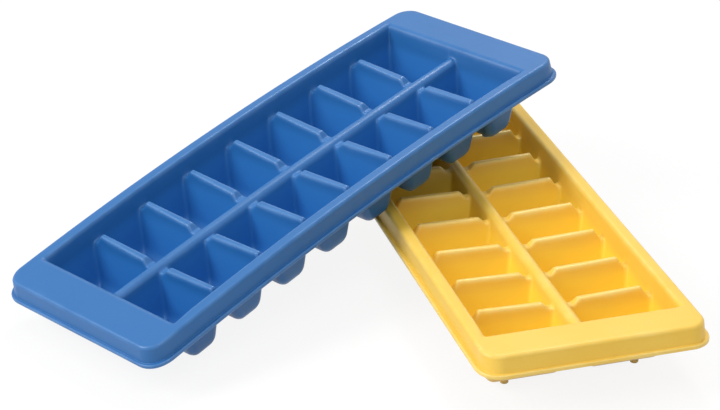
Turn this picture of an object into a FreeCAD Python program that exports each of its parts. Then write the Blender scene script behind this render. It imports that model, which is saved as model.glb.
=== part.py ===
import FreeCAD, Part
import Sketcher
import math
import os

# Two ice cube trays of one moulding, the blue one leaning on the yellow one.
# A tray is modelled about its own middle: X along it, Y across it, Z up, its end rims at Z = 0.
# The yellow tray is straight. The blue one has taken a bend that arches its middle upwards.

os.makedirs("parts", exist_ok=True)
doc = FreeCAD.newDocument("ice_cube_trays")
sheet = doc.addObject("Spreadsheet::Sheet", "dims")

DIMENSIONS = [
    ("rim_length", 305.0, "rim, end to end, mm"),
    ("rim_width", 114.3, "rim, side to side"),
    ("rim_corner", 9.0, "corners of the rim seen from above"),
    ("wall", 1.6, "moulded wall"),
    ("skirt_height", 11.4, "top of the rim to the foot of its skirt"),
    ("end_flare", 2.2, "skirt's foot beyond the rim at each end"),
    ("end_lip", 5.0, "lip beyond the rim at each end"),
    ("side_lip", 3.5, "lip beyond the rim along each side"),
    ("lip_corner", 11.5, "corners of the lip seen from above"),
    ("lip_height", 2.4, "lip, top to bottom"),
    ("lip_round", 0.8, "edges of the lip"),
    ("outer_round", 2.2, "outer edge of the rim"),
    ("inner_round", 1.5, "inner edge of the rim"),
    ("grip", 20.5, "flat grip at each end of the tray"),
    ("side_rim", 6.3, "rim along each side"),
    ("columns", 8, "cells along the tray, in two rows"),
    ("cell_depth", 34.0, "top of the rim to a cell's floor"),
    ("long_draft", 16.0, "lean of the walls across the tray, degrees"),
    ("cross_draft", 10.0, "lean of the walls along the tray, degrees"),
    ("cell_corner", 3.0, "upright corners inside a cell"),
    ("floor_round", 5.2, "edge of a cell's floor"),
    ("divider", 4.2, "divider's flanks apart, carried up to the rim"),
    ("divider_drop", 5.4, "rim to the divider's ridge"),
    ("wall_drop_side", 4.9, "rim to a cross wall's top beside the rim"),
    ("wall_drop_middle", 6.0, "rim to a cross wall's top beside the divider"),
    ("notch_drop", 10.0, "rim to the notches that let water pass"),
    ("notch_width", 2.8, "floor of a notch"),
    ("notch_slope", 3.0, "sloping end of a cross wall"),
    ("web_drop", 11.8, "rim to the underside between cells"),
    ("foot_diameter", 4.4, "feet under the end cells"),
    ("foot_drop", 38.6, "rim to the soles of the feet"),
    ("foot_offset", 34.8, "feet from the tray's middle line"),
    ("step", 0.15, "steps that keep neighbouring faces apart"),
    ("blue_arch", 5.8, "rise of the blue tray's rim at its middle"),
    ("blue_divider_arch", 2.7, "rise of the blue tray's divider"),
    ("blue_heading", 29.1, "blue tray's length from the X axis, degrees"),
    ("blue_back", 119.8, "blue near end behind the yellow near end"),
    ("blue_left", 233.6, "blue near end left of the yellow middle"),
    ("blue_roll", 0.8, "blue tray's left side down, degrees"),
    ("blue_start_lean", 20.0, "lean from which the blue tray is let down, degrees"),
    ("seat_gap", 0.25, "blue tray clear of the yellow one"),
]
for row, (alias, value, note) in enumerate(DIMENSIONS, start=1):
    sheet.set("A%d" % row, note)
    sheet.set("B%d" % row, str(value))
    sheet.setAlias("B%d" % row, alias)
doc.recompute()


def dim(alias):
    return float(sheet.get(alias))


X_AXIS = FreeCAD.Vector(1, 0, 0)
Y_AXIS = FreeCAD.Vector(0, 1, 0)
Z_AXIS = FreeCAD.Vector(0, 0, 1)
COLUMNS = int(dim("columns"))
ROWS = (1, -1)

# How far blocks that cut or limit others reach past the tray, how near an edge is to count as on
# a face, and how many times the seat gap counts as settled.
BEYOND = "20"
FAR_BELOW = "60"
ON_FACE = 0.01
SETTLED = 1.02

# Expressions that several pieces share.
LONG_LEAN = "tan(dims.long_draft * 1deg)"
CROSS_LEAN = "tan(dims.cross_draft * 1deg)"
LONG_WALL = "dims.wall / cos(dims.long_draft * 1deg)"
CROSS_WALL = "dims.wall / cos(dims.cross_draft * 1deg)"
PITCH = "(dims.rim_length - 2 * dims.grip) / dims.columns"
MOUTH_X = "(dims.rim_length / 2 - dims.grip)"
MOUTH_Y = "(dims.rim_width / 2 - dims.side_rim)"
pitch = (dim("rim_length") - 2 * dim("grip")) / COLUMNS


def add(kind, name, **bound):
    item = doc.addObject(kind, name)
    for prop, expression in bound.items():
        item.setExpression(prop.replace("__", "."), expression)
    return item


def combine(kind, name, first, second):
    item = doc.addObject(kind, name)
    item.Base, item.Tool = first, second
    return item


def fused(name, items):
    item = doc.addObject("Part::MultiFuse", name)
    item.Shapes = items
    return item


def rounded(name, base, radius_at):
    """Round the edges of base for which radius_at(edge) gives a radius."""
    doc.recompute()
    edges = []
    for index, edge in enumerate(base.Shape.Edges, start=1):
        radius = radius_at(edge)
        if radius:
            edges.append((index, radius, radius))
    item = doc.addObject("Part::Fillet", name)
    item.Base = base
    item.Edges = edges
    return item


def is_upright(edge):
    """True for an edge that runs up the side of a block, straight or leaning."""
    first, last = edge.Vertexes[0].Point, edge.Vertexes[-1].Point
    return math.hypot(first.x - last.x, first.y - last.y) < abs(first.z - last.z) / 2


def plan_block(name, half_x, half_y, corner):
    """An upright block with rounded corners that reaches well past the rim both ways."""
    block = add("Part::Box", name + "_plan",
                Length="2 * (%s)" % half_x, Width="2 * (%s)" % half_y,
                Height="%s + %s" % (FAR_BELOW, BEYOND),
                Placement__Base__x="-(%s)" % half_x, Placement__Base__y="-(%s)" % half_y,
                Placement__Base__z="-" + FAR_BELOW)
    return rounded(name, block, lambda edge: corner if is_upright(edge) else None)


def flared_block(name, inset, corner):
    """A plan block inside the skirt's outline by an inset, flaring downwards at both ends."""
    half_x = "(dims.rim_length / 2 - (%s) - (%s) * dims.end_flare / dims.skirt_height)" % (inset, "%s")
    half_y = "(dims.rim_width / 2 - (%s))" % inset
    low, high = half_x % ("-" + FAR_BELOW), half_x % BEYOND
    block = add("Part::Wedge", name + "_plan",
                Ymin="-" + FAR_BELOW, Ymax=BEYOND,
                Zmin="-" + low, Zmax=low, Z2min="-" + high, Z2max=high,
                Xmin="-" + half_y, Xmax=half_y, X2min="-" + half_y, X2max=half_y)
    block.Placement.Rotation = FreeCAD.Rotation(FreeCAD.Vector(1, 1, 1), 120)
    return rounded(name, block, lambda edge: corner if is_upright(edge) else None)


def outline(name, points):
    """A closed outline in the YZ plane through points given as (across, up) expressions."""
    sketch = doc.addObject("Sketcher::SketchObject", name)
    sketch.Placement = FreeCAD.Placement(FreeCAD.Vector(), FreeCAD.Rotation(0.5, 0.5, 0.5, 0.5))
    sketch.addProperty("App::PropertyFloat", "probe")
    corners = []
    for across, up in points:
        place = []
        for expression in (across, up):
            sketch.setExpression("probe", expression)
            sketch.recompute()
            place.append(sketch.probe)
        corners.append(FreeCAD.Vector(place[0], place[1], 0))
    sketch.setExpression("probe", None)
    for index, corner in enumerate(corners):
        following = corners[(index + 1) % len(corners)]
        sketch.addGeometry(Part.LineSegment(corner, following), False)
    for index, corner in enumerate(corners):
        following = (index + 1) % len(corners)
        sketch.addConstraint(Sketcher.Constraint("Coincident", index, 2, following, 1))
        for kind, value, expression in zip(("DistanceX", "DistanceY"), corner, points[index]):
            if value < 0:
                ends, signed = (index, 1, -1, 1), "-(%s)" % expression
            else:
                ends, signed = (-1, 1, index, 1), expression
            number = sketch.addConstraint(Sketcher.Constraint(kind, *ends, abs(value)))
            sketch.setExpression("Constraints[%d]" % number, signed)
    return sketch


class Bend:
    """How a tray runs along its length: straight, or round a level axis far below it."""

    def __init__(self, name, arch):
        self.name = name
        self.arch = arch
        if arch:
            self.radius = "((dims.rim_length ^ 2 / 4 + dims.%s ^ 2) / (2 * dims.%s))" % (arch, arch)
            rise = dim(arch)
            self.size = (dim("rim_length") ** 2 / 4 + rise ** 2) / (2 * rise)
            self.axis_up = "(dims.%s - %s)" % (arch, self.radius)
            self.axis = FreeCAD.Vector(0, 0, rise - self.size)

    def height(self, point):
        """Height of a point over the rim's top."""
        if not self.arch:
            return point.z
        return math.hypot(point.x, point.z - self.axis.z) - self.size

    def station(self, along):
        """Placement of what stands at a distance along the tray."""
        if not self.arch:
            return FreeCAD.Placement(FreeCAD.Vector(along, 0, 0), FreeCAD.Rotation())
        turn = FreeCAD.Rotation(Y_AXIS, math.degrees(along / self.size))
        rim = FreeCAD.Vector(0, 0, self.size)
        return FreeCAD.Placement(self.axis + turn.multVec(rim), turn)

    def layer(self, label, top, bottom):
        """The layer between two heights over the rim's top."""
        label = "%s_%s" % (self.name, label)
        if not self.arch:
            return add("Part::Box", label,
                       Length="dims.rim_length + 2 * " + BEYOND,
                       Width="dims.rim_width + 2 * " + BEYOND,
                       Height="(%s) - (%s)" % (top, bottom),
                       Placement__Base__x="-dims.rim_length / 2 - " + BEYOND,
                       Placement__Base__y="-dims.rim_width / 2 - " + BEYOND,
                       Placement__Base__z=bottom)
        discs = []
        for end, height in (("over", top), ("under", bottom)):
            disc = add("Part::Cylinder", "%s_%s" % (label, end))
            disc.Placement.Rotation = FreeCAD.Rotation(X_AXIS, -90) * FreeCAD.Rotation(Z_AXIS, 90)
            disc.setExpression("Radius", "%s + (%s)" % (self.radius, height))
            disc.setExpression("Height", "dims.rim_width + 2 * " + BEYOND)
            disc.setExpression("Placement.Base.y", "-dims.rim_width / 2 - " + BEYOND)
            disc.setExpression("Placement.Base.z", self.axis_up)
            discs.append(disc)
        return combine("Part::Cut", label, discs[0], discs[1])

    def sweep(self, label, points, half_length):
        """A closed outline, given as heights over the rim, run along the tray both ways."""
        label = "%s_%s" % (self.name, label)
        if not self.arch:
            sketch = outline(label + "_outline", points)
            run = add("Part::Extrusion", label, LengthFwd="2 * (%s)" % half_length)
            run.Base = sketch
            run.DirMode = "Custom"
            run.Dir = X_AXIS
            run.Solid = True
            run.Symmetric = True
            return run
        raised = [(across, "dims.%s + (%s)" % (self.arch, up)) for across, up in points]
        sketch = outline(label + "_outline", raised)
        turn = "2 * (%s) / %s * 180 / pi" % (half_length, self.radius)
        run = add("Part::Revolution", label, Angle=turn, Base__z=self.axis_up)
        run.Source = sketch
        run.Axis = Y_AXIS
        run.Solid = True
        run.Symmetric = True
        return run


def cell_block(name, top, bottom, grown):
    """A leaning-walled block of one cell of the left row, grown outwards by the wall or by 0."""
    half = "(%s) / 2 + (%s) * %s" % (PITCH, "%s", LONG_LEAN)
    spare = "%s * (%s)" % (grown, LONG_WALL)
    cross = "%s * (%s)" % (grown, CROSS_WALL)
    outer = "%s + (%s) * %s + %s" % (MOUTH_Y, "%s", CROSS_LEAN, cross)
    inner = "dims.divider / 2 - (%s) * %s - %s" % ("%s", CROSS_LEAN, cross)
    block = add("Part::Wedge", name,
                Ymin=bottom, Ymax=top,
                Zmin="-(%s) - %s" % (half % bottom, spare), Zmax="%s + %s" % (half % bottom, spare),
                Z2min="-(%s) - %s" % (half % top, spare), Z2max="%s + %s" % (half % top, spare),
                Xmin=inner % bottom, Xmax=outer % bottom,
                X2min=inner % top, X2max=outer % top)
    block.Placement.Rotation = FreeCAD.Rotation(FreeCAD.Vector(1, 1, 1), 120)
    doc.recompute()
    floor = block.Shape.BoundBox.ZMin
    corner = dim("cell_corner") + grown * dim("wall")
    round_below = dim("floor_round") + grown * dim("wall")

    def radius_at(edge):
        if is_upright(edge):
            return corner
        return round_below if edge.BoundBox.ZMax < floor + ON_FACE else None

    return rounded(name + "_rounded", block, radius_at)


def repeated(name, item, bend, columns, rows=ROWS):
    """One solid that holds a copy of item for each cell."""
    doc.recompute()
    copies = []
    for column in columns:
        along = (column - (COLUMNS - 1) / 2) * pitch
        for side in rows:
            copy = item.Shape.copy()
            half_turn = 0 if side > 0 else 180
            turned = FreeCAD.Placement(FreeCAD.Vector(), FreeCAD.Rotation(Z_AXIS, half_turn))
            copy.Placement = bend.station(along) * turned * copy.Placement
            copies.append(copy)
    feature = doc.addObject("Part::Feature", name)
    feature.Shape = Part.makeCompound(copies)
    return feature


def rim(bend):
    """The flat rim with its skirt and the lip at the skirt's foot."""
    name = bend.name
    block = combine("Part::Common", name + "_block",
                    flared_block(name + "_rim", "0", dim("rim_corner")),
                    bend.layer("rim_layer", "0", "-dims.skirt_height"))
    mouth = combine("Part::Common", name + "_mouth",
                    plan_block(name + "_mouth_plan", MOUTH_X, MOUTH_Y, dim("cell_corner")),
                    bend.layer("mouth_layer", BEYOND, "-dims.inner_round - dims.step"))
    ring = combine("Part::Cut", name + "_ring", block, mouth)
    inside = dim("rim_width") / 2 - dim("side_rim") + dim("step")

    def rim_radius(edge):
        middle = edge.valueAt((edge.FirstParameter + edge.LastParameter) / 2)
        if abs(bend.height(middle)) > ON_FACE:
            return None
        within = abs(middle.y) < inside and abs(middle.x) < dim("rim_length") / 2 - dim("wall")
        return dim("inner_round") if within else dim("outer_round")

    rim_ring = rounded(name + "_rim_ring", ring, rim_radius)
    lip_block = combine("Part::Common", name + "_lip_block",
                        plan_block(name + "_lip", "(dims.rim_length / 2 + dims.end_lip)",
                                   "(dims.rim_width / 2 + dims.side_lip)", dim("lip_corner")),
                        bend.layer("lip_layer", "dims.lip_height - dims.skirt_height",
                                   "-dims.skirt_height"))
    lip = rounded(name + "_lip_ring", lip_block,
                  lambda edge: None if is_upright(edge) else dim("lip_round"))
    hollow = combine("Part::Common", name + "_hollow",
                     flared_block(name + "_hollow_plan", "dims.wall",
                                  dim("rim_corner") - dim("wall")),
                     bend.layer("hollow_layer", "-dims.wall", "-dims.skirt_height - " + BEYOND))
    return combine("Part::Cut", name + "_shell", fused(name + "_skirted", [rim_ring, lip]), hollow)


def web(bend):
    """The block between the cells that carries the side walls, cross walls and divider."""
    top, bottom = "-dims.wall / 2", "-dims.web_drop"
    side = "%s + (%s) - dims.step + (%s) * " + CROSS_LEAN
    high, low = side % (MOUTH_Y, CROSS_WALL, top), side % (MOUTH_Y, CROSS_WALL, bottom)
    points = [("-(%s)" % low, bottom), (low, bottom), (high, top), ("-(%s)" % high, top)]
    return bend.sweep("web", points, "%s - (%s) / 2" % (MOUTH_X, PITCH))


def wall_tops(bend, side):
    """What is cut away over the cross walls of one row, down to the notches at their ends."""
    air = "dims.wall"
    rim_side = "%s - dims.step + (%s) * %s" % (MOUTH_Y, "%s", CROSS_LEAN)
    flank = "dims.divider / 2 + dims.step - (%s) * %s" % ("%s", CROSS_LEAN)
    floor = "-dims.notch_drop"
    outer, inner = rim_side % floor, flank % floor
    points = [
        (rim_side % air, air),
        (outer, floor),
        ("%s - dims.notch_width" % outer, floor),
        ("%s - dims.notch_width - dims.notch_slope" % outer, "-dims.wall_drop_side"),
        ("%s + dims.notch_width + dims.notch_slope" % inner, "-dims.wall_drop_middle"),
        ("%s + dims.notch_width" % inner, floor),
        (inner, floor),
        (flank % air, air),
    ]
    if side < 0:
        points = [("-(%s)" % across, up) for across, up in points]
    return bend.sweep("wall_tops_%s" % ("left" if side > 0 else "right"), points,
                      "%s - (%s) / 2" % (MOUTH_X, PITCH))


def ridge(bend):
    """What is cut away over the divider, leaving its ridge bevelled."""
    half = "dims.divider / 2 + dims.divider_drop * " + CROSS_LEAN
    bevel = "(%s) / 3" % half
    drop = "-dims.divider_drop"
    reach = "%s + dims.notch_width" % half
    points = [
        ("-(%s)" % reach, BEYOND), ("-(%s)" % reach, "%s - 2 * %s" % (drop, bevel)),
        ("-(%s)" % half, "%s - 2 * %s" % (drop, bevel)),
        ("-2 * %s" % bevel, "%s - %s / 2" % (drop, bevel)),
        ("-%s" % bevel, drop), (bevel, drop),
        ("2 * %s" % bevel, "%s - %s / 2" % (drop, bevel)),
        (half, "%s - 2 * %s" % (drop, bevel)),
        (reach, "%s - 2 * %s" % (drop, bevel)), (reach, BEYOND),
    ]
    return bend.sweep("ridge", points, MOUTH_X)


def tray(name, arch, divider_arch):
    """One moulding in its own frame, with the pieces that its seat is worked out from."""
    bend = Bend(name, arch)
    deep = "-dims.cell_depth"
    cup = cell_block(name + "_cup", "-dims.notch_drop", deep + " - dims.wall", 1)
    end_cup = cell_block(name + "_end_cup", "-dims.wall / 2", deep + " - dims.wall", 1)
    cell = cell_block(name + "_cell", "dims.step", deep, 0)
    middle, ends = range(1, COLUMNS - 1), (0, COLUMNS - 1)
    foot = add("Part::Cylinder", name + "_foot", Radius="dims.foot_diameter / 2",
               Height="dims.foot_drop - dims.cell_depth - dims.wall / 2",
               Placement__Base__y="dims.foot_offset", Placement__Base__z="-dims.foot_drop")
    shell = rim(bend)
    cups = repeated(name + "_cups", cup, bend, middle)
    feet = repeated(name + "_feet", foot, bend, ends)
    end_cups = repeated(name + "_end_cups", end_cup, bend, ends)
    body = fused(name + "_body", [shell, web(bend), cups, end_cups, feet])
    opened = combine("Part::Cut", name + "_opened", body,
                     repeated(name + "_cells", cell, bend, range(COLUMNS)))
    for side in ROWS:
        opened = combine("Part::Cut", "%s_walls_%s" % (name, "left" if side > 0 else "right"),
                         opened, wall_tops(bend, side))
    divider_bend = Bend(name + "_divider", divider_arch)
    moulding = combine("Part::Cut", name + "_tray", opened, ridge(divider_bend))
    moulding.Label = name + "_tray"
    doc.recompute()
    return moulding, shell, cups, feet


def placed(feature, placement):
    shape = feature.Shape.copy()
    shape.Placement = placement
    return shape


def leaning(lean, feet):
    """Blue tray's placement at a lean, with its lowest foot on the floor."""
    turn = (FreeCAD.Rotation(Z_AXIS, dim("blue_heading")) * FreeCAD.Rotation(Y_AXIS, -lean)
            * FreeCAD.Rotation(X_AXIS, -dim("blue_roll")))
    near = FreeCAD.Vector(-dim("blue_left"), dim("blue_back") - dim("rim_length") / 2, 0)
    base = near + turn.multVec(X_AXIS) * (dim("rim_length") / 2)
    floating = placed(feet, FreeCAD.Placement(base, turn))
    base.z -= floating.optimalBoundingBox(False, False).ZMin
    return FreeCAD.Placement(base, turn)


def let_down(cups, feet, rail):
    """Lean the blue tray less and less until its cells are seat_gap clear of the yellow rim."""
    lean, clear = dim("blue_start_lean"), dim("seat_gap")
    while True:
        placement = leaning(lean, feet)
        gap = placed(cups, placement).distToShape(rail)[0]
        if gap == 0:
            raise ValueError("the blue tray starts inside the yellow one")
        if gap < SETTLED * clear:
            print("blue tray leans %.2f degrees, %.3f mm clear of the rim" % (lean, gap))
            return placement
        lean -= math.degrees((gap - clear) / dim("rim_length"))


yellow, yellow_shell, _, _ = tray("yellow", None, None)
blue, _, blue_cups, blue_feet = tray("blue", "blue_arch", "blue_divider_arch")
yellow_seat = FreeCAD.Placement(FreeCAD.Vector(0, 0, dim("foot_drop")),
                                FreeCAD.Rotation(Z_AXIS, 90))
blue_seat = let_down(blue_cups, blue_feet, placed(yellow_shell, yellow_seat))

# The frame's origin is on the floor, under the middle of the pair.
pair = Part.makeCompound([placed(yellow, yellow_seat), placed(blue, blue_seat)])
box = pair.optimalBoundingBox(False, False)
middle = FreeCAD.Vector(box.Center.x, box.Center.y, box.ZMin)
for piece, seat in ((yellow, yellow_seat), (blue, blue_seat)):
    seat.Base = seat.Base - middle
    piece.Placement = seat
doc.recompute()

for item in doc.Objects:
    if {"Invalid", "Error"} & set(item.State):
        raise ValueError("%s didn't recompute" % item.Name)
    if hasattr(item, "Shape") and (item.Shape.isNull() or not item.Shape.isValid()):
        raise ValueError("%s has no valid shape" % item.Name)
for piece in (yellow, blue):
    piece.Shape.exportStep("parts/%s.step" % piece.Label)
    bounds = piece.Shape.optimalBoundingBox(False, False)
    print("%s: %.1f x %.1f x %.1f mm, %.1f cm3, %d faces" % (
        piece.Label, bounds.XLength, bounds.YLength, bounds.ZLength,
        piece.Shape.Volume / 1000, len(piece.Shape.Faces)))
print("pair: %.1f x %.1f x %.1f mm" % (box.XLength, box.YLength, box.ZLength))
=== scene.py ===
# %% [markdown]
# # Two ice cube trays
# Two moulded plastic ice cube trays are seen from above one corner. The yellow one lies flat on its
# feet. The blue one is the same moulding, bent a little by use, and leans on the yellow one's rim.
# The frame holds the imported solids. The trays are drawn in millimetres and turned into metres once,
# when a mesh is made. Floor, lamps and camera are in metres from the start.

# %% Setup
import math

import bpy
import numpy as np
from mathutils import Matrix, Vector


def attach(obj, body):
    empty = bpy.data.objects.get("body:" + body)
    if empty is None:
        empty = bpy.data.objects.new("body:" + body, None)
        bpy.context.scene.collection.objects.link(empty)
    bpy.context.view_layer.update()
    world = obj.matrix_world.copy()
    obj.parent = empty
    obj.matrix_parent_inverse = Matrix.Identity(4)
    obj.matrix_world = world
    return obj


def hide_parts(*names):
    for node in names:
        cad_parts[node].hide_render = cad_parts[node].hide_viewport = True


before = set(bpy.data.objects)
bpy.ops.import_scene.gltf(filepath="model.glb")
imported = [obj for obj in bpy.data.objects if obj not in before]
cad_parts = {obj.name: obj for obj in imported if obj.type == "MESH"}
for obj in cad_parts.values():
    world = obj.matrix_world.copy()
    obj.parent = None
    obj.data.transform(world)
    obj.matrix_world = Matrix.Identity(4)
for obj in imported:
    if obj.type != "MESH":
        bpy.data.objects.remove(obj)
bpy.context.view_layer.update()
MM = 0.001


def rounded(rows):
    """Rows of numbers, rounded to four places for printing."""
    return [[round(v, 4) for v in row] for row in rows]


# %% [markdown]
# ## The tray's sizes
# A tray is a thin shell: a flat rim with a skirt all round, two rows of tapered cells, and low walls
# between the cells, so that water can run from one to the next. The sizes below are those that the
# moulding tool has: how long, how deep, how much each wall leans so that the tray and the ice come
# out. A drop is how far something lies under the rim's top, which is at height 0.

# %% Sizes of the moulding
RIM_LENGTH = 305.0
RIM_WIDTH = 114.3
RIM_CORNER = 9.0
GRIP = 20.5
SIDE_RIM = 6.3
WALL = 1.6
CELLS_LONG = 8
CELL_DEPTH = 34.0
CELL_CORNER = 1.8
FLOOR_ROUND = 5.2
LONG_LEAN = math.radians(16.0)
CROSS_LEAN = math.radians(10.0)
DIVIDER = 4.2
DIVIDER_DROP = 5.4
FOOT_DROP = 38.6
PITCH = (RIM_LENGTH - 2 * GRIP) / CELLS_LONG
MOUTH_X = RIM_LENGTH / 2 - GRIP
MOUTH_Y = RIM_WIDTH / 2 - SIDE_RIM
print("cells every %.1f mm, mouth %.1f x %.1f mm" % (PITCH, 2 * MOUTH_X, 2 * MOUTH_Y))

# %% [markdown]
# ## Open space as a formula
# A moulded part has no sharp edges: every inside corner and every outside edge is rounded. Modelling
# that with bevels would need care at each of the hundreds of corners. Here the open space above the
# tray is written as a distance that is negative in the open and positive in the plastic. Two such
# distances can be joined or crossed with a round edge of a chosen radius, so the rounding comes by
# itself wherever two faces meet.

# %% Joining and crossing distances with a round edge
def joined(first, second, radius):
    """The union of two spaces, the edge between them rounded."""
    a = np.maximum(radius - first, 0)
    b = np.maximum(radius - second, 0)
    return np.maximum(radius, np.minimum(first, second)) - np.hypot(a, b)


def crossed(first, second, radius):
    """Where two spaces overlap, the edge between them rounded."""
    a = np.maximum(radius + first, 0)
    b = np.maximum(radius + second, 0)
    return np.minimum(-radius, np.maximum(first, second)) + np.hypot(a, b)


def from_nearest_cell(along):
    """Distance along the tray from the middle of the cell that a point is in."""
    column = np.clip(np.floor((along + MOUTH_X) / PITCH), 0, CELLS_LONG - 1)
    return np.abs(along + MOUTH_X - (column + 0.5) * PITCH)


def leaning(away, edge, up, lean):
    """Distance from a wall that stands at edge where up is 0, and leans in below it."""
    return (away - (edge + up * math.tan(lean))) * math.cos(lean)


def leaning_walls(along, across, up, grown):
    """Distances to a cell's walls, grown outwards: those across the tray, and those along it."""
    long_walls = leaning(from_nearest_cell(along), PITCH / 2, up, LONG_LEAN)
    rim_side = leaning(np.abs(across), MOUTH_Y, up, CROSS_LEAN)
    divider_side = -leaning(np.abs(across), DIVIDER / 2, up, -CROSS_LEAN)
    return long_walls - grown, np.maximum(rim_side, divider_side) - grown


print("walls lean %.0f and %.0f degrees" % (math.degrees(LONG_LEAN), math.degrees(CROSS_LEAN)))

# %% [markdown]
# ## Cross walls, notches and the divider
# The walls between neighbouring cells stop below the rim. Each has a flat top, a slope at both ends
# and a deep notch beside the rim and beside the divider: through these notches the water levels out.
# The top is drawn as an outline across the tray, straight at first and then softened by averaging,
# which needs fewer numbers than drawing every curve. The divider between the two rows is a round bar.
# In the bent tray it has sunk a little at its middle, and the cross walls' inner ends with it.

# %% Outline of a cross wall's top
NOTCH_DROP = 10.0
NOTCH_DROP_MIDDLE = 9.0
NOTCH_WIDTH = 2.8
NOTCH_SLOPE = 3.0
WALL_DROP_SIDE = 4.9
WALL_DROP_MIDDLE = 6.0
FINE_STEPS = 1200
SOFTEN_OVER = 17
flank_foot = DIVIDER / 2 + NOTCH_DROP * math.tan(CROSS_LEAN)
side_foot = MOUTH_Y - NOTCH_DROP * math.tan(CROSS_LEAN)
top_across = np.array([0, flank_foot + NOTCH_WIDTH, flank_foot + NOTCH_WIDTH + NOTCH_SLOPE,
                       side_foot - NOTCH_WIDTH - NOTCH_SLOPE, side_foot - NOTCH_WIDTH, RIM_WIDTH])
top_up = -np.array([NOTCH_DROP_MIDDLE, NOTCH_DROP_MIDDLE, WALL_DROP_MIDDLE,
                    WALL_DROP_SIDE, NOTCH_DROP, NOTCH_DROP])
fine_across = np.linspace(0, RIM_WIDTH / 2, FINE_STEPS)
sharp_up = np.interp(fine_across, top_across, top_up)
padded_up = np.pad(sharp_up, SOFTEN_OVER // 2, mode="edge")
soft_up = np.convolve(padded_up, np.ones(SOFTEN_OVER) / SOFTEN_OVER, "valid")
soft_slope = np.gradient(soft_up, fine_across)
print("cross wall top from %.1f to %.1f mm off the middle line" % (top_across[2], top_across[3]))

# %% Open space over the walls and over the divider
SAG_AT_WALLS = 0.4


def sunk(along, sag):
    """How far the middle of a bent tray's divider has sunk at a place along it."""
    return sag * (1 - (along / (RIM_LENGTH / 2)) ** 2)


def over_walls(along, across, up, sag):
    """Open space above the cross walls, from the middle of one end cell to the other's."""
    away = np.abs(across)
    inner = np.clip(1 - (away - flank_foot) / (side_foot - flank_foot), 0, 1)
    top = np.interp(away, fine_across, soft_up) - SAG_AT_WALLS * sunk(along, sag) * inner
    slope = np.interp(away, fine_across, soft_slope)
    return np.maximum((top - up) / np.hypot(1, slope), np.abs(along) - (MOUTH_X - PITCH / 2))


def over_divider(along, across, up, sag):
    """Open space above the divider, whose ridge is as round as its flanks allow."""
    drop = DIVIDER_DROP + sunk(along, sag)
    lean = math.tan(CROSS_LEAN)
    radius = (DIVIDER / 2 + drop * lean) * math.cos(CROSS_LEAN) / (1 - math.sin(CROSS_LEAN))
    centre = -drop - radius
    ridge = np.maximum(radius - np.hypot(across, up - centre), centre - up)
    ends = leaning(np.abs(along), MOUTH_X, up, LONG_LEAN)
    beside = np.abs(across) - (DIVIDER / 2 - up * lean)
    return np.maximum(ridge, np.maximum(ends, beside))


print("notches %.0f to %.0f mm under the rim" % (NOTCH_DROP_MIDDLE, NOTCH_DROP))

# %% [markdown]
# ## The two sides of the shell
# The upper side is where the open space ends on the way down, and the under side is where the
# plastic begins on the way up. A Solidify modifier could make the second side from the first, but in
# walls as narrow as these its faces would run through each other. So both sides are formulas, and
# their heights are found by halving an interval, for all grid points at once.

# %% Open space of the whole tray
WALL_ROUND = 1.0
NOTCH_ROUND = 0.6
MOUTH_ROUND = 1.5
END_EXTRA_ROUND = 0.9
END_STARTS = 12.0
END_BLEND = 10.0


def upper_space(along, across, up, sag):
    """Open space of the whole tray: cells, the space over the walls, and all above the rim."""
    long_walls, cross_walls = leaning_walls(along, across, up, 0)
    between = joined(long_walls, over_walls(along, across, up, sag), WALL_ROUND)
    deeper = np.clip((-up - NOTCH_DROP) / (2 * CELL_CORNER), 0, 1)
    corner = NOTCH_ROUND + (CELL_CORNER - NOTCH_ROUND) * deeper
    rows = crossed(crossed(between, cross_walls, corner), -CELL_DEPTH - up, FLOOR_ROUND)
    inside = np.minimum(rows, over_divider(along, across, up, sag))
    near_end = np.clip((np.abs(along) - MOUTH_X + END_STARTS) / END_BLEND, 0, 1)
    return joined(inside, -up, MOUTH_ROUND + END_EXTRA_ROUND * near_end)


print("mouth's edge rounded by %.1f mm, by %.1f mm more at the ends" % (MOUTH_ROUND, END_EXTRA_ROUND))

# %% [markdown]
# Below, each cell has a cup that follows it at the wall's thickness, and a web joins the cups. The
# cups' upright corners are rounder than the cells': the blue tray's cups lie on the yellow rim, and
# sharper ones would cut into it.

# %% The shell seen from below
CUP_CORNER = 4.6
CUP_FILLET = 1.8
WEB_DROP = 11.8
WEB_ROUND = 1.0
WEB_FILLET = 1.2


def cup_space(along, across, up):
    """Both rows of cups, from the outside."""
    long_walls, cross_walls = leaning_walls(along, across, up, WALL)
    upright = crossed(long_walls, cross_walls, CUP_CORNER)
    return crossed(upright, -(CELL_DEPTH + WALL) - up, FLOOR_ROUND + WALL)


def shell_below(along, across, up):
    """All that lies above the shell's under side: rim, web and cups."""
    side = leaning(np.abs(across), MOUTH_Y, up, CROSS_LEAN)
    ends = leaning(np.abs(along), MOUTH_X, up, LONG_LEAN)
    web = crossed(-WEB_DROP - up, np.maximum(side, ends) - WALL, WEB_ROUND)
    plate = joined(-WALL - up, web, WEB_FILLET)
    return joined(plate, cup_space(along, across, up), CUP_FILLET)


print("cups %.1f mm deep with their floors" % (CELL_DEPTH + WALL))

# %% Finding the upper and the under side
HALVINGS = 26
UPPER_RANGE = (-CELL_DEPTH - 3.0, 3.0)
UNDER_RANGE = (-CELL_DEPTH - 6.0, -1.0)


def crossing(space, shape, heights):
    """Height at which space changes sign between two heights; it is positive at the first."""
    low, high = np.full(shape, heights[0]), np.full(shape, heights[1])
    for _ in range(HALVINGS):
        middle = (low + high) / 2
        solid = space(middle) > 0
        low = np.where(solid, middle, low)
        high = np.where(solid, high, middle)
    return (low + high) / 2


def upper_side(along, across, sag):
    """Heights of the upper side at places of the net."""
    return crossing(lambda up: upper_space(along, across, up, sag), along.shape, UPPER_RANGE)


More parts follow.
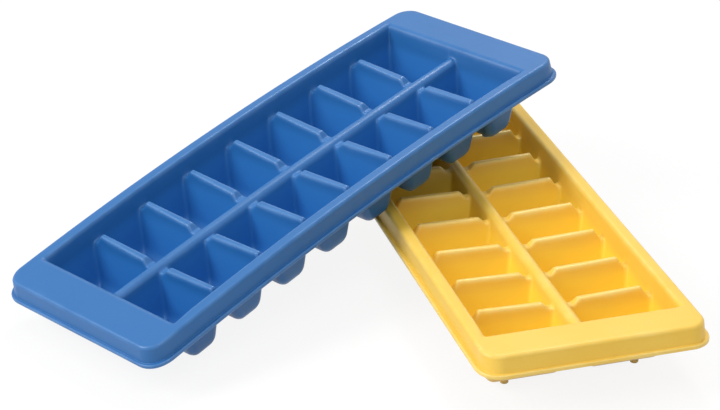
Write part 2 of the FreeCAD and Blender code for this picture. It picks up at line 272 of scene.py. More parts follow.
def under_side(along, across):
    """Heights of the under side at places of the net."""
    return crossing(lambda up: shell_below(along, across, up), along.shape, UNDER_RANGE)


finest = (UPPER_RANGE[1] - UPPER_RANGE[0]) / 2 ** HALVINGS
print("heights found to %.1g mm" % finest)

# %% [markdown]
# ## A grid that fits the tray
# The shell is made of one net of quads for each side. An even net fine enough for the wall tops would
# have several times the points. So its lines lie close together where the surface turns quickly, on
# wall tops and in rounded corners, and further apart on flat ground. Towards the rim's corners the
# net is drawn round, so that its edge is the rounded rim itself.

# %% Lines of the net
def stepped(spans):
    """Places from (start, end, step) spans that follow each other."""
    places = [np.linspace(start, end, max(2, round((end - start) / step) + 1))
              for start, end, step in spans]
    return np.unique(np.round(np.concatenate(places), 5))


OUTER_ROUND = 2.2
CORNER_X = RIM_LENGTH / 2 - RIM_CORNER
CORNER_Y = RIM_WIDTH / 2 - RIM_CORNER
EDGE_X = RIM_LENGTH / 2 - OUTER_ROUND
EDGE_Y = RIM_WIDTH / 2 - OUTER_ROUND
# From the middle of a cross wall: its top, its slope, its rounded foot, the cell's floor.
half_cell = stepped([(0, 3.0, 0.5), (3.0, 8.4, 0.77), (8.4, 13.8, 0.6), (13.8, PITCH / 2, 0.9)])
cell_lines = np.concatenate([half_cell, PITCH - half_cell[::-1]])
along_lines = [column * PITCH - MOUTH_X + cell_lines for column in range(CELLS_LONG)]
end_lines = stepped([(MOUTH_X, MOUTH_X + 3, 0.5), (MOUTH_X + 3, CORNER_X, 2.2),
                     (CORNER_X, EDGE_X, 0.85)])
along_lines = np.unique(np.round(np.concatenate(along_lines + [end_lines, -end_lines]), 4))
# From the middle line: divider, notch, slope, the cross walls' tops, slope, notch, flat rim.
half_across = stepped([(0, 4.2, 0.6), (4.2, 8.6, 0.5), (8.6, 12.2, 0.7), (12.2, 40, 2.1),
                       (40, 44.9, 0.6), (44.9, CORNER_Y, 0.5), (CORNER_Y, EDGE_Y, 0.55)])
across_lines = np.unique(np.concatenate([half_across, -half_across]))
print("net of %d by %d lines" % (len(along_lines), len(across_lines)))


# %% Drawing the net's corners round
def net(edge_inset):
    """Places of the net's points, its edge at an inset from the rim's outline."""
    reach = RIM_CORNER - edge_inset
    along, across = np.meshgrid(along_lines, across_lines, indexing="ij")
    past_x = np.maximum(np.abs(along) - CORNER_X, 0) / (EDGE_X - CORNER_X)
    past_y = np.maximum(np.abs(across) - CORNER_Y, 0) / (EDGE_Y - CORNER_Y)
    most = np.maximum(past_x, past_y)
    least = np.minimum(past_x, past_y)
    turn = np.divide(least, most, out=np.zeros_like(most), where=most > 0) * math.pi / 4
    angle = np.where(past_x >= past_y, turn, math.pi / 2 - turn)
    in_corner = (past_x > 0) & (past_y > 0)
    off_x = np.where(in_corner, most * np.cos(angle), past_x) * reach
    off_y = np.where(in_corner, most * np.sin(angle), past_y) * reach
    x = np.sign(along) * (np.minimum(np.abs(along), CORNER_X) + off_x)
    y = np.sign(across) * (np.minimum(np.abs(across), CORNER_Y) + off_y)
    return x, y


def net_edge(rows, columns):
    """Numbers of the points round the net's edge, and of the net itself."""
    numbers = np.arange(rows * columns).reshape(rows, columns)
    loop = np.concatenate([numbers[:-1, 0], numbers[-1, :-1], numbers[:0:-1, -1], numbers[0, :0:-1]])
    return numbers, loop


# %% [markdown]
# ## The skirt and its lip
# Round the rim hangs a skirt that stiffens the tray, with a small bead-like lip at its foot. In the
# mesh it is a strip that runs round the net's edge. A curve with a bevel profile could make it too,
# but the skirt flares more at the ends than along the sides. So it is drawn as two outlines, of pairs
# of inset from the rim and height, and carried round the tray from one to the other.

# %% Outline of the skirt
def arc(centre, radius, start, end, steps):
    """Points of an arc in the skirt's outline; angles in degrees."""
    angles = np.radians(np.linspace(start, end, steps))
    return [(centre[0] + radius * math.cos(a), centre[1] + radius * math.sin(a)) for a in angles]


SKIRT = 11.4
LIP_HEIGHT = 2.3
SHOULDER_ROUND = 1.9
LIP_ROUND = 0.75
SKIRT_FOOT_ROUND = 0.4
FILLET = 0.4
# How far shoulder, foot and lip stand out from the rim, at the ends and along the sides.
END_FLARE = (1.8, 3.1, 4.8)
SIDE_FLARE = (0.8, 1.4, 3.5)
# Points between the round stretches: share of the way from shoulder to foot on the outside, share of
# the way in from the skirt's inner face on the inside, and height.
OUTSIDE = ((0.4, -4.8), (0.75, -7.2))
INSIDE = ((0.0, -8.0), (0.4, -5.5))


def skirt_outline(shoulder, foot, lip):
    """The skirt's outline as (inset from the rim, height): shoulder, skirt, lip and inner side."""
    lip_top = LIP_HEIGHT - SKIRT
    inside = WALL - foot
    outline = arc((SHOULDER_ROUND - shoulder, -SHOULDER_ROUND), SHOULDER_ROUND, 90, 180, 9)
    outline += [(-(1 - share) * shoulder - share * foot, up) for share, up in OUTSIDE]
    outline += arc((-foot - FILLET, lip_top + FILLET), FILLET, 0, -90, 5)
    outline += arc((LIP_ROUND - lip, lip_top - LIP_ROUND), LIP_ROUND, 90, 180, 6)
    outline += arc((LIP_ROUND - lip, LIP_ROUND - SKIRT), LIP_ROUND, 180, 270, 6)
    outline += arc((inside - SKIRT_FOOT_ROUND, SKIRT_FOOT_ROUND - SKIRT), SKIRT_FOOT_ROUND, 270, 360, 4)
    outline += [(inside * (1 - share) + WALL * share, up) for share, up in INSIDE]
    return outline + arc((2 * WALL, -2 * WALL), WALL, 180, 90, 6)[:-1]


end_outline = skirt_outline(*END_FLARE)
side_outline = skirt_outline(*SIDE_FLARE)
print("skirt outline of %d points" % len(end_outline))

# %% [markdown]
# ## From net to mesh
# The upper net, the skirt and the under net are sewn into one closed mesh. A bent tray is bent after
# that: each point is carried round a level axis far below the tray, which arches the middle up and
# keeps every wall square to the rim. A Simple Deform modifier could bend it as well, but then the
# amount would be an angle, and here it is the rise at the middle, which can be measured.

# %% Carrying the skirt round the net's edge
# The flare is a little larger on the corners' diagonals than the two outlines make it.
CORNER_PUSH = 0.08


def skirt_rings(edge):
    """Rings of points round the tray, one for each place of the skirt's outline."""
    outward = np.sign(edge[:, :2]) * np.maximum(np.abs(edge[:, :2]) - (CORNER_X, CORNER_Y), 0)
    outward /= np.linalg.norm(outward, axis=1)[:, None]
    diagonal = (2 * outward[:, 0] * outward[:, 1]) ** 2
    push = (1 + CORNER_PUSH * diagonal)[:, None]
    rings = []
    for (end_inset, up), (side_inset, _) in zip(end_outline, side_outline):
        inset = np.array([end_inset, side_inset])
        within = outward * (OUTER_ROUND - np.maximum(inset, 0))
        beyond = outward * np.maximum(-inset, 0)
        ring = edge[:, :2] + (within + beyond * push)
        rings.append(np.column_stack([ring, np.full(len(edge), up)]))
    return rings


print("flare %.0f%% larger on the corners' diagonals" % (100 * CORNER_PUSH))


# %% One tray as points and quads
UNDER_INSET = 2 * WALL


def tray_mesh(sag):
    """Points in millimetres about the tray's middle, and quads, of one closed shell."""
    numbers, loop = net_edge(len(along_lines), len(across_lines))
    top_x, top_y = net(OUTER_ROUND)
    low_x, low_y = net(UNDER_INSET)
    top = np.stack([top_x, top_y, upper_side(top_x, top_y, sag)], -1).reshape(-1, 3)
    low = np.stack([low_x, low_y, under_side(low_x, low_y)], -1).reshape(-1, 3)
    rings = skirt_rings(top[loop])
    points = np.concatenate([top] + rings + [low])
    low_start = len(points) - len(low)
    a, b = numbers[:-1, :-1].ravel(), numbers[1:, :-1].ravel()
    c, d = numbers[1:, 1:].ravel(), numbers[:-1, 1:].ravel()
    quads = [np.stack([a, b, c, d], 1), np.stack([d, c, b, a], 1) + low_start]
    loops = [loop]
    loops += [len(top) + k * len(loop) + np.arange(len(loop)) for k in range(len(rings))]
    loops.append(loop + low_start)
    for one, other in zip(loops[:-1], loops[1:]):
        quads.append(np.stack([one, other, np.roll(other, -1), np.roll(one, -1)], 1))
    return points, np.concatenate(quads).tolist()


def bent(points, rise):
    """The points carried round an axis below, so that the middle rises over the ends."""
    radius = (RIM_LENGTH ** 2 / 4 + rise ** 2) / (2 * rise)
    angle = points[:, 0] / radius
    reach = radius + points[:, 2]
    return np.stack([reach * np.sin(angle), points[:, 1],
                     reach * np.cos(angle) + rise - radius], 1)


print("under side's net starts %.1f mm in from the rim" % UNDER_INSET)

# %% [markdown]
# ## Where plastic wears
# Handling polishes and pales the edges first, and the paler edges also stand in for a painted highlight
# along them. A material could find edges by the Geometry node's Pointiness, but how far that spreads
# from an edge can't be set. So how sharply the surface bends outwards is worked out once for each point,
# and kept with the mesh as an attribute named edge.

# %% Marking the edges
EDGE_GAIN = 5.0
EDGE_SOFTENINGS = 2
TINY = 1e-9


def edge_strength(mesh):
    """For each point, how much it stands proud of its neighbours, from 0 to 1."""
    count = len(mesh.vertices)
    place = np.empty(count * 3)
    facing = np.empty(count * 3)
    ends = np.empty(len(mesh.edges) * 2, int)
    mesh.vertices.foreach_get("co", place)
    mesh.vertices.foreach_get("normal", facing)
    mesh.edges.foreach_get("vertices", ends)
    place, facing, ends = place.reshape(-1, 3), facing.reshape(-1, 3), ends.reshape(-1, 2)
    total, weight = np.zeros(count), np.zeros(count)
    for one, other in ((0, 1), (1, 0)):
        step = place[ends[:, one]] - place[ends[:, other]]
        length = np.linalg.norm(step, axis=1) + TINY
        proud = np.einsum("ij,ij->i", step, facing[ends[:, one]]) / length
        np.add.at(total, ends[:, one], proud / length)
        np.add.at(weight, ends[:, one], 1 / length)
    strength = np.clip(total / weight * EDGE_GAIN, 0, 1)
    for _ in range(EDGE_SOFTENINGS):
        shared, touching = strength.copy(), np.ones(count)
        for one, other in ((0, 1), (1, 0)):
            np.add.at(shared, ends[:, one], strength[ends[:, other]])
            np.add.at(touching, ends[:, one], 1)
        strength = shared / touching
    return strength


print("edges softened %d times" % EDGE_SOFTENINGS)


# %% [markdown]
# ## Where light comes through
# The walls inside the cells are thin and lit from both sides. Some light comes through, and deep in a
# cell the colour looks clearer and brighter than on the rim. Light scattered inside the shell, by the
# shader's Subsurface Weight, could show that. Here that light is painted into the colour: each point
# keeps how deep inside a cell it lies, as an attribute, and the material blends to a clearer, brighter
# shade by it. That is simpler to set, and the painted light stays part of the colour wherever the model
# goes.

# %% Marking where light through the thin walls is painted
PAINTED_LIGHT_FROM = 9.0
PAINTED_LIGHT_DEPTH = 5.0
UPPER_POINTS = len(along_lines) * len(across_lines)


def painted_light_through_walls(points):
    """For each point, how much light through the thin walls is painted on it, from 0 to 1."""
    upper = np.arange(len(points)) < UPPER_POINTS
    return upper * np.clip((-points[:, 2] - PAINTED_LIGHT_FROM) / PAINTED_LIGHT_DEPTH, 0, 1)


# The painted light through the thin walls grows over this span of depth.
print("clearer shade from %.0f to %.0f mm under the rim" % (PAINTED_LIGHT_FROM, PAINTED_LIGHT_FROM + PAINTED_LIGHT_DEPTH))

# %% [markdown]
# ## From points to a piece
# Primitives and modifiers would build a piece by steps in the scene. These pieces are worked out point
# by point, so each is handed to Blender as a finished mesh, and both attributes are kept with it. The
# points are set in their place before that, so the object itself stays at the scene's origin.

# %% Making a piece in the scene
def mark(mesh, name, values):
    """Keeps one number for each point of a mesh, as an attribute that a material can ask for."""
    mesh.attributes.new(name, "FLOAT", "POINT").data.foreach_set("value", values)


def make_piece(name, points, faces, placement, painted_light_amount=0.0):
    """A smooth mesh object from points in millimetres, set in its place."""
    matrix = np.array(placement)
    placed = points @ matrix[:3, :3].T + matrix[:3, 3]
    mesh = bpy.data.meshes.new(name)
    mesh.from_pydata((placed * MM).tolist(), [], faces)
    mesh.validate()
    mesh.shade_smooth()
    piece = bpy.data.objects.new(name, mesh)
    bpy.context.scene.collection.objects.link(piece)
    mark(mesh, "edge", edge_strength(mesh))
    # Painted light through the thin walls, deep in the cells; none on the feet.
    mark(mesh, "painted_through_light", np.zeros(len(points)) + painted_light_amount)
    print("%s: %d points, %d faces" % (name, len(mesh.vertices), len(mesh.polygons)))
    return piece


# %% [markdown]
# ## Placing the trays
# The yellow tray runs away from the viewer on its feet. The blue tray's near end stands on the table
# and its cells lie on the yellow rim, so it leans back along its length and a hair to its left. The
# places were found by matching the rims' corners to the photograph, then letting the blue tray down
# until it all but touched the yellow one.

# %% Placements
YELLOW_MIDDLE = Vector((100.302, -3.625, FOOT_DROP))
BLUE_MIDDLE = Vector((-2.911, 36.248, 59.6))
BLUE_HEADING = math.radians(29.1)
BLUE_LEAN = math.radians(11.85)
BLUE_ROLL = math.radians(0.8)
BLUE_RISE = 5.8
BLUE_SAG = 3.1
yellow_place = Matrix.Translation(YELLOW_MIDDLE) @ Matrix.Rotation(math.pi / 2, 4, "Z")
blue_place = (Matrix.Translation(BLUE_MIDDLE) @ Matrix.Rotation(BLUE_HEADING, 4, "Z")
              @ Matrix.Rotation(-BLUE_LEAN, 4, "Y") @ Matrix.Rotation(-BLUE_ROLL, 4, "X"))
print("blue tray leans back %.2f degrees and arches by %.1f mm" % (math.degrees(BLUE_LEAN), BLUE_RISE))

# %% Building both trays
points, faces = tray_mesh(0)
yellow_shell = make_piece("yellow_shell", points, faces, yellow_place, painted_light_through_walls(points))
points, faces = tray_mesh(BLUE_SAG)
blue_shell = make_piece("blue_shell", bent(points, BLUE_RISE), faces, blue_place,
                        painted_light_through_walls(points))

# %% [markdown]
# ## The feet
# Under the end cells stand four small pegs that keep the tray level. A cylinder with a bevel would do
# for each. Here they are turned from a short outline with a rounded sole, like everything else that
# is drawn as an outline, and reach a little into the cup's floor so that they grow out of it.

# %% Feet
FOOT_RADIUS = 2.2
SOLE_ROUND = 0.5
FOOT_OFFSET = 34.8
FOOT_SIDES = 28
FOOT_AT = MOUTH_X - PITCH / 2
foot_outline = [(FOOT_RADIUS, -CELL_DEPTH - WALL / 2)]
foot_outline += arc((FOOT_RADIUS - SOLE_ROUND, SOLE_ROUND - FOOT_DROP), SOLE_ROUND, 0, -90, 4)


def feet_mesh():
    """Four pegs as points and faces about the tray's middle."""
    points, faces = [], []
    turns = np.linspace(0, 2 * math.pi, FOOT_SIDES, endpoint=False)
    for x in (-FOOT_AT, FOOT_AT):
        for y in (-FOOT_OFFSET, FOOT_OFFSET):
            start = len(points)
            for radius, up in foot_outline:
                points += [(x + radius * math.cos(t), y + radius * math.sin(t), up) for t in turns]
            for ring in range(len(foot_outline) - 1):
                for k in range(FOOT_SIDES):
                    one = start + ring * FOOT_SIDES + k
                    two = start + ring * FOOT_SIDES + (k + 1) % FOOT_SIDES
                    faces.append((one, one + FOOT_SIDES, two + FOOT_SIDES, two))
            last = start + (len(foot_outline) - 1) * FOOT_SIDES
            faces.append(tuple(range(start, start + FOOT_SIDES)))
            faces.append(tuple(range(last + FOOT_SIDES - 1, last - 1, -1)))
    return np.array(points), faces


points, faces = feet_mesh()
yellow_feet = make_piece("yellow_feet", points, faces, yellow_place)
blue_feet = make_piece("blue_feet", bent(points, BLUE_RISE), faces, blue_place)

# %% [markdown]
# ## Handing the meshes over
# Each shell stands for the solid tray of its colour, and its feet ride on the same body, so a tray
# and its feet lift together.

# %% Bodies
for colour, shell, feet in (("yellow", yellow_shell, yellow_feet), ("blue", blue_shell, blue_feet)):
    for piece in (shell, feet):
        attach(piece, colour)
    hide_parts(colour + "_tray")
print("pieces:", [p.name for p in (yellow_shell, yellow_feet, blue_shell, blue_feet)])

# %% [markdown]
# ## What moulded plastic looks like
# Polypropylene from a mould is one colour right through, yet never looks flat. The melt leaves faint
# streaks, thick places sink a little, the mould's fine blasting shows as a silky grain, and handled
# edges turn paler and smoother. Painted pictures could hold that, but formulas fit any shape and stay
# sharp at any distance. Three shader node groups do it, each built once, and both plastics use them
# with values of their own.

# %% Helpers for node groups
def new_group(name, inputs, outputs):
    """A shader node group with named sockets; returns it with its two end nodes."""
    group = bpy.data.node_groups.new(name, "ShaderNodeTree")
    for label, kind, value in inputs:
        socket = group.interface.new_socket(name=label, in_out="INPUT", socket_type=kind)
        if value is not None:
            socket.default_value = value
    for label, kind in outputs:
        group.interface.new_socket(name=label, in_out="OUTPUT", socket_type=kind)
    return group, group.nodes.new("NodeGroupInput"), group.nodes.new("NodeGroupOutput")


def feed(tree, socket, value):
    """Links a socket to another one, or gives it a number."""
    if isinstance(value, bpy.types.NodeSocket):
        tree.links.new(value, socket)
    else:
        socket.default_value = value


def noise(tree, vector, scale, detail):
    """A noise texture over a vector; scale, in bumps per metre, is a number or a socket."""
    node = tree.nodes.new("ShaderNodeTexNoise")
    node.inputs["Detail"].default_value = detail
    tree.links.new(vector, node.inputs["Vector"])
    feed(tree, node.inputs["Scale"], scale)
    return node.outputs["Fac"]


def spread(tree, value, low, high, most=1.0):
    """A value's range from low to high drawn out from 0 to most, with soft ends."""
    node = tree.nodes.new("ShaderNodeMapRange")
    node.interpolation_type = "SMOOTHSTEP"
    for label, number in (("From Min", low), ("From Max", high), ("To Max", most)):
        node.inputs[label].default_value = number
    tree.links.new(value, node.inputs["Value"])
    return node.outputs["Result"]


def calculate(tree, operation, *values):
    """A Math node over two or three sockets or numbers."""
    node = tree.nodes.new("ShaderNodeMath")
    node.operation = operation
    for slot, value in enumerate(values):
        feed(tree, node.inputs[slot], value)
    return node.outputs[0]


print("node groups so far:", len(bpy.data.node_groups))

# %% [markdown]
# ## Edge wear
# Edge wear uses the edge attribute of the meshes, broken up by a noise so that the polish comes and
# goes along an edge, as it does where hands and the freezer shelf have rubbed. It could be painted on
# by hand, but then each tray would need painting, and again after every change of shape.

# %% Edge wear group
edge_wear, wear_in, wear_out = new_group(
    "edge wear",
    [("Vector", "NodeSocketVector", None), ("Edge", "NodeSocketFloat", 0.0),
     ("Amount", "NodeSocketFloat", 0.6)],
    [("Wear", "NodeSocketFloat")])
PATCHES = 0.6
patches = noise(edge_wear, wear_in.outputs["Vector"], scale=70.0, detail=4.0)
broken = calculate(edge_wear, "MULTIPLY_ADD", patches, PATCHES, -PATCHES / 2)
reached = calculate(edge_wear, "ADD", wear_in.outputs["Edge"], broken)
worn = spread(edge_wear, reached, low=0.08, high=0.75)
edge_wear.links.new(calculate(edge_wear, "MULTIPLY", worn, wear_in.outputs["Amount"]),
                    wear_out.inputs["Wear"])
print("edge wear:", len(edge_wear.nodes), "nodes")

# %% [markdown]
# ## The moulded skin
# The surface itself has three scales: a silky grain under a millimetre, a slow waviness where the
# plastic sank as it cooled, and a few fine rubs. Real relief this fine would take millions of faces.
# Grain and waviness go to the Height of a Bump node instead. Rubs, wear and a cloudy unevenness go to
# the roughness, because a rubbed place is smoother than the blasted skin around it.

# %% Helper for a drawn-out noise
def stretched(tree, vector, scale, turn=(0.0, 0.0, 0.0)):
    """A vector scaled along each axis and turned, so that a noise over it is drawn out."""
    node = tree.nodes.new("ShaderNodeMapping")
    node.inputs["Scale"].default_value = scale
    node.inputs["Rotation"].default_value = turn
    tree.links.new(vector, node.inputs["Vector"])
    return node.outputs["Vector"]


print("node groups so far:", len(bpy.data.node_groups))

# %% Moulded skin group
moulded_skin, skin_in, skin_out = new_group(
    "moulded skin",
    [("Vector", "NodeSocketVector", None), ("Grain", "NodeSocketFloat", 1500.0),
     ("Wear", "NodeSocketFloat", 0.0), ("Roughness", "NodeSocketFloat", 0.4)],
    [("Height", "NodeSocketFloat"), ("Roughness", "NodeSocketFloat")])
GRAIN_HEIGHT = 0.14
SINK_HEIGHT = 1.4
CLOUDS = 0.16
RUB_SHINE = 0.05
WEAR_SHINE = 0.32
RUB_TURN = (0.3, 0.2, 0.9)
skin_vector = skin_in.outputs["Vector"]
grain = noise(moulded_skin, skin_vector, skin_in.outputs["Grain"], detail=2.0)
sinking = noise(moulded_skin, skin_vector, scale=30.0, detail=1.0)
height = calculate(moulded_skin, "MULTIPLY", grain, GRAIN_HEIGHT)
height = calculate(moulded_skin, "MULTIPLY_ADD", sinking, SINK_HEIGHT, height)
moulded_skin.links.new(height, skin_out.inputs["Height"])
drawn_out = stretched(moulded_skin, skin_vector, scale=(1.0, 7.0, 7.0), turn=RUB_TURN)
rubs = spread(moulded_skin, noise(moulded_skin, drawn_out, scale=90.0, detail=5.0), low=0.56, high=0.7)
cloudy = noise(moulded_skin, skin_vector, scale=45.0, detail=3.0)
rough = calculate(moulded_skin, "MULTIPLY_ADD", cloudy, CLOUDS, -CLOUDS / 2)
rough = calculate(moulded_skin, "ADD", rough, skin_in.outputs["Roughness"])
rough = calculate(moulded_skin, "MULTIPLY_ADD", rubs, -RUB_SHINE, rough)
rough = calculate(moulded_skin, "MULTIPLY_ADD", skin_in.outputs["Wear"], -WEAR_SHINE, rough)
moulded_skin.links.new(rough, skin_out.inputs["Roughness"])
print("moulded skin:", len(moulded_skin.nodes), "nodes")

# %% [markdown]
# ## The plastic's colour
# Colour comes from four shades: the pigment as it is, a deeper one where the melt ran together, a
# clearer and brighter one deep in the cells, which is painted light that comes through the thin walls,
# and a paler one for worn edges, which is partly a painted highlight. A colour ramp over one noise
# could hold the first two, but separate inputs let both plastics share the group.

# %% Helper for blending colours
# A Mix node's sockets for colours come after those for numbers and vectors.
MIX_FIRST, MIX_SECOND, MIX_RESULT = 6, 7, 2


def blend_colours(tree, factor, first, second):
    """A Mix node between two colour sockets."""
    node = tree.nodes.new("ShaderNodeMix")
    node.data_type = "RGBA"
    tree.links.new(factor, node.inputs["Factor"])
    tree.links.new(first, node.inputs[MIX_FIRST])
    tree.links.new(second, node.inputs[MIX_SECOND])
    return node.outputs[MIX_RESULT]


print("node groups so far:", len(bpy.data.node_groups))

# %% Plastic tone group
# Two of its inputs paint the light that comes through the thin walls deep in the cells; the pale one
# also paints a highlight on worn edges.
plastic_tone, tone_in, tone_out = new_group(
    "plastic tone",
    [("Vector", "NodeSocketVector", None), ("Pigment", "NodeSocketColor", None),
     ("Deep", "NodeSocketColor", None), ("Pale", "NodeSocketColor", None),
     ("Clear", "NodeSocketColor", None), ("Painted_light_share", "NodeSocketFloat", 0.0),
     ("Wear", "NodeSocketFloat", 0.0)],
    [("Color", "NodeSocketColor")])
melt = stretched(plastic_tone, tone_in.outputs["Vector"], scale=(1.0, 1.0, 3.0))
streaks = noise(plastic_tone, melt, scale=22.0, detail=5.0)
streaks = spread(plastic_tone, streaks, low=0.35, high=0.72, most=0.5)
specks = noise(plastic_tone, tone_in.outputs["Vector"], scale=600.0, detail=2.0)
specks = spread(plastic_tone, specks, low=0.3, high=0.8, most=0.2)
deepness = calculate(plastic_tone, "ADD", streaks, specks)
shade = tone_in.outputs["Pigment"]
# Deeper where the melt ran together; the clearer, brighter shade deep in the cells is painted light
# through the thin walls; the paler one on edges is wear and a painted highlight.
for factor, other in ((deepness, "Deep"), (tone_in.outputs["Painted_light_share"], "Clear"),
                      (tone_in.outputs["Wear"], "Pale")):
    shade = blend_colours(plastic_tone, factor, shade, tone_in.outputs[other])
plastic_tone.links.new(shade, tone_out.inputs["Color"])
print("plastic tone:", len(plastic_tone.nodes), "nodes")

# %% [markdown]
# ## The two plastics
# Both are the same material with other pigments, so one function makes both. The values are linear
# colours, picked so that a flat place under plain light looks as in the photograph: a warm honey
# yellow and a clear mid blue. The yellow is a hair rougher and shows a little more wear.

# %% A plastic from the three groups
PLASTIC_IOR = 1.49
BUMP_STRENGTH = 0.35
BUMP_DISTANCE = 0.0006


def attribute(tree, name):
    """The number that a mesh keeps for each point under a name."""
    node = tree.nodes.new("ShaderNodeAttribute")
    node.attribute_name = name
    return node.outputs["Fac"]


def place_group(tree, group, **values):
    """A node group in a material, with values of the material's own."""
    node = tree.nodes.new("ShaderNodeGroup")
    node.node_tree = group
    for label, value in values.items():
        node.inputs[label].default_value = value
    return node


def plastic(name, pigment, deep, painted_through_colour, pale_and_highlight, roughness, wear):
    """A moulded plastic whose colour, roughness and bump come from the shared groups."""
    material = bpy.data.materials.new(name)
    material.use_nodes = True
    tree = material.node_tree
    shader = tree.nodes["Principled BSDF"]
    shader.inputs["IOR"].default_value = PLASTIC_IOR
    worn = place_group(tree, edge_wear, Amount=wear)
    skin = place_group(tree, moulded_skin, Roughness=roughness)
    tone = place_group(tree, plastic_tone, Pigment=pigment, Deep=deep, Clear=painted_through_colour, Pale=pale_and_highlight)
    bump = tree.nodes.new("ShaderNodeBump")
    bump.inputs["Strength"].default_value = BUMP_STRENGTH
    bump.inputs["Distance"].default_value = BUMP_DISTANCE
    place = tree.nodes.new("ShaderNodeTexCoord").outputs["Object"]
    for node in (worn, skin, tone):
        tree.links.new(place, node.inputs["Vector"])
    for node in (skin, tone):
        tree.links.new(worn.outputs["Wear"], node.inputs["Wear"])
    for source, target in ((attribute(tree, "edge"), worn.inputs["Edge"]),
                           (attribute(tree, "painted_through_light"), tone.inputs["Painted_light_share"]),
                           (skin.outputs["Height"], bump.inputs["Height"]),
                           (tone.outputs["Color"], shader.inputs["Base Color"]),
                           (skin.outputs["Roughness"], shader.inputs["Roughness"]),
                           (bump.outputs["Normal"], shader.inputs["Normal"])):
        tree.links.new(source, target)
    return material


print("node groups:", sorted(group.name for group in bpy.data.node_groups))

# %% Yellow and blue
# The third colour of each paints the light that comes through the thin walls deep in the cells; the
# fourth is the worn edges' colour and a painted highlight on them.
yellow_plastic = plastic("moulded_yellow", pigment=(0.92, 0.6, 0.085, 1), deep=(0.9, 0.54, 0.05, 1),
                         painted_through_colour=(0.98, 0.69, 0.07, 1), pale_and_highlight=(0.96, 0.76, 0.28, 1),
                         roughness=0.44, wear=0.55)
blue_plastic = plastic("moulded_blue", pigment=(0.018, 0.142, 0.4, 1), deep=(0.013, 0.128, 0.37, 1),
                       painted_through_colour=(0.028, 0.187, 0.51, 1), pale_and_highlight=(0.1, 0.27, 0.58, 1),
                       roughness=0.42, wear=0.5)
for piece, material in ((yellow_shell, yellow_plastic), (yellow_feet, yellow_plastic),
                        (blue_shell, blue_plastic), (blue_feet, blue_plastic)):
    piece.data.materials.append(material)
print("materials:", [m.name for m in (yellow_plastic, blue_plastic)])

# %% [markdown]
# ## Floor
# The photograph is a plain one on white. A floor lit by lamps alone would come out grey towards its
# far end, and one that only glows would show no shadow. So this floor is a blend of both. To the
# camera, and off or through anything shiny or clear, most of its brightness is its own and stays
# white, and the rest is lit and takes the shadow. To all other rays it is a pale surface.

# %% Helper for what the camera sees
def looked_at(tree):
    """1 for the camera's own rays and those sent on by shiny or clear things, 0 for all others."""
    path = tree.nodes.new("ShaderNodeLightPath")
    seen = calculate(tree, "MAXIMUM", path.outputs["Is Camera Ray"], path.outputs["Is Transmission Ray"])
    return calculate(tree, "MAXIMUM", seen, path.outputs["Is Glossy Ray"])


# %% Floor
FLOOR_SIZE = 12.0
FLOOR_GREY = 0.74
FLOOR_ROUGHNESS = 0.7
FLOOR_SPECULAR = 0.1
FLOOR_GLOW = 1.05
GLOW_SHARE = 0.84
floor_mesh = bpy.data.meshes.new("floor")
half = FLOOR_SIZE / 2
floor_mesh.from_pydata([(-half, -half, 0), (half, -half, 0), (half, half, 0), (-half, half, 0)],
                       [], [(0, 1, 2, 3)])
floor = bpy.data.objects.new("floor", floor_mesh)
bpy.context.scene.collection.objects.link(floor)
floor_material = bpy.data.materials.new("white_floor")
floor_material.use_nodes = True
floor_tree = floor_material.node_tree
floor_shader = floor_tree.nodes["Principled BSDF"]
floor_shader.inputs["Base Color"].default_value = (FLOOR_GREY, FLOOR_GREY, FLOOR_GREY, 1)
floor_shader.inputs["Roughness"].default_value = FLOOR_ROUGHNESS
floor_shader.inputs["Specular IOR Level"].default_value = FLOOR_SPECULAR
glow = floor_tree.nodes.new("ShaderNodeEmission")
glow.inputs["Strength"].default_value = FLOOR_GLOW
both = floor_tree.nodes.new("ShaderNodeMixShader")
glowing = calculate(floor_tree, "MULTIPLY", looked_at(floor_tree), GLOW_SHARE)
for slot, source in enumerate((glowing, floor_shader.outputs[0], glow.outputs[0])):
    floor_tree.links.new(source, both.inputs[slot])
floor_tree.links.new(both.outputs[0], floor_tree.nodes["Material Output"].inputs["Surface"])
floor_mesh.materials.append(floor_material)
print("floor %.0f m wide, glow %.2f at a share of %.2f" % (FLOOR_SIZE, FLOOR_GLOW, GLOW_SHARE))

# %% [markdown]
# ## Surroundings
# Around the trays is nothing but white. To the camera the surroundings are plain white as well. On the
# trays they shine from all sides with well under half of that, so that the cells stay darker inside
# than the rim. A picture of a room could light them too, but the real trays mirror nothing of a room.

# %% Surroundings
AMBIENT = 0.42
world = bpy.data.worlds.new("surroundings")
bpy.context.scene.world = world
world.use_nodes = True
sky_tree = world.node_tree
sky = sky_tree.nodes["Background"]
sky.inputs["Color"].default_value = (1, 1, 1, 1)
level = calculate(sky_tree, "MULTIPLY_ADD", looked_at(sky_tree), 1.0 - AMBIENT, AMBIENT)
sky_tree.links.new(level, sky.inputs["Strength"])
print("surroundings at %.2f" % AMBIENT)

# %% [markdown]
# ## Lamps
# In the photograph the blue tray's right side is the dark one and no shade has a hard edge, so a large
# lamp stands to the left. A weaker one above the front keeps the near faces readable. A small one
# behind puts narrow bright lines on the ridges. One lamp would be simpler, but it leaves the near faces
# dark and draws no such lines.

# %% Lamps
LAMP_AIM = Vector((0, 0, 0))


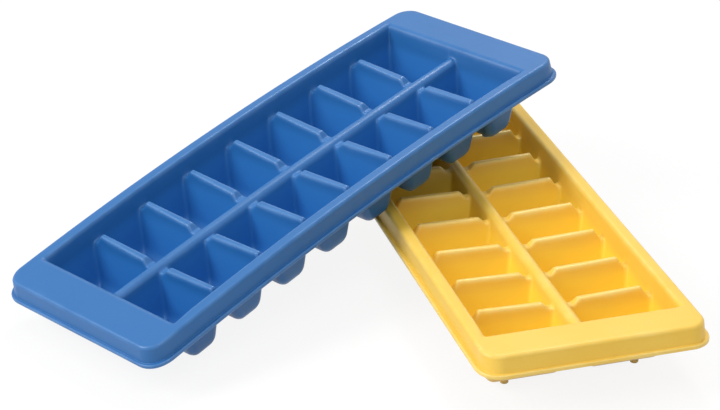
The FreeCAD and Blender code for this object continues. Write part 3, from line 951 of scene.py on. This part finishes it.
def soft_lamp(name, place, width, power):
    """A square area lamp at a place in metres, turned towards the trays."""
    lamp_data = bpy.data.lights.new(name, "AREA")
    lamp_data.size = width
    lamp_data.energy = power
    lamp = bpy.data.objects.new(name, lamp_data)
    lamp.location = place
    lamp.rotation_euler = (LAMP_AIM - Vector(place)).to_track_quat("-Z", "Y").to_euler()
    bpy.context.scene.collection.objects.link(lamp)


soft_lamp("key_lamp", place=(-1.9, 0.0, 1.5), width=1.2, power=36.0)
soft_lamp("front_lamp", place=(0.1, -1.1, 1.9), width=1.0, power=10.0)
soft_lamp("back_lamp", place=(0.45, 0.8, 1.38), width=0.35, power=8.0)

# %% [markdown]
# ## Camera
# The yellow rim's sides are long straight lines of known length, and the blue rim's follow an arch.
# So the camera could be worked out from them, which is surer than turning it by eye: a long lens, a
# metre and a quarter away, looking down at about 26 and a half degrees.

# %% Camera
CAMERA_PLACE = Vector((-0.2914, -1.1117, 0.6236))
CAMERA_AIM = Vector((0.0155, -0.0356, 0.0665))
CAMERA_ROLL = math.radians(-0.61)
LENS = 122.17
SENSOR_WIDTH = 36.0
FARTHEST = 30.0
camera_data = bpy.data.cameras.new("camera")
camera_data.lens = LENS
camera_data.sensor_width = SENSOR_WIDTH
camera_data.sensor_fit = "HORIZONTAL"
camera_data.clip_end = FARTHEST
camera = bpy.data.objects.new("camera", camera_data)
camera.location = CAMERA_PLACE
look = (CAMERA_AIM - CAMERA_PLACE).to_track_quat("-Z", "Y").to_matrix()
camera.rotation_euler = (look @ Matrix.Rotation(CAMERA_ROLL, 3, "Z")).to_euler()
bpy.context.scene.collection.objects.link(camera)
bpy.context.scene.camera = camera
turned = camera.rotation_euler.to_matrix()
print("camera looks along, and its up:", rounded([-turned.col[2], turned.col[1]]))

# %% [markdown]
# ## Finish
# The colours are shown through the Standard view transform, and the scene is brought up to date.

# %% Finish
bpy.context.scene.view_settings.view_transform = "Standard"
bpy.context.view_layer.update()
